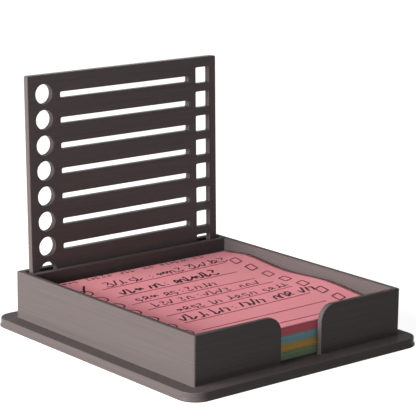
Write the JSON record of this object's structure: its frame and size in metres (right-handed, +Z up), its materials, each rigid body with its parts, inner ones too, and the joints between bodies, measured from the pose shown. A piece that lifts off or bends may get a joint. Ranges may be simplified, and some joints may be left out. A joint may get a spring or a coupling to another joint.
{
  "type": "sticky note organizer",
  "caption": "Printed desk tray for a stack of square sticky notes, with a finger notch in front and a marking stencil standing in a slot behind.",
  "frame": {"origin": "middle of the base plate's underside, on the desk", "axes": "+Z up, +X to the right along the notched front wall, +Y to the rear, where the stencil stands"},
  "size_m": [0.0922, 0.1004, 0.0799],
  "materials": {
    "printed_plastic": "satin, with fine print layers",
    "green_paper": "matt paper",
    "yellow_paper": "matt paper",
    "blue_paper": "matt paper",
    "pink_paper": "matt paper"
  },
  "bodies": {
    "tray": {"tray": "printed_plastic"},
    "stencil": {"stencil": "printed_plastic"},
    "green_pad": {"green_pad": "green_paper"},
    "yellow_pad": {"yellow_pad": "yellow_paper"},
    "blue_pad": {"blue_pad": "blue_paper"},
    "pink_pad": {"pink_pad": "pink_paper", "top_note_glued_band": "pink_paper"},
    "top_note": {"top_note_flap": "pink_paper"}
  },
  "joints": [
    {"name": "stencil_lift", "type": "slide", "parent": "tray", "child": "stencil", "axis": [0, 0.0265, 0.9996], "range_m": [0, 0.016]},
    {"name": "stack_lift", "type": "slide", "parent": "tray", "child": "green_pad", "axis": [0, 0, 1], "range_m": [0, 0.0161]},
    {"name": "yellow_lift", "type": "slide", "parent": "green_pad", "child": "yellow_pad", "axis": [0, 0, 1], "range_m": [0, 0.0136]},
    {"name": "blue_lift", "type": "slide", "parent": "yellow_pad", "child": "blue_pad", "axis": [0, 0, 1], "range_m": [0, 0.0111]},
    {"name": "pink_lift", "type": "slide", "parent": "blue_pad", "child": "pink_pad", "axis": [0, 0, 1], "range_m": [0, 0.0086]},
    {"name": "top_note_peel", "type": "hinge", "parent": "pink_pad", "child": "top_note", "pos_m": [0, 0.02028, 0.01383], "axis": [-1, 0, 0], "range_deg": [0, 95]}
  ]
}
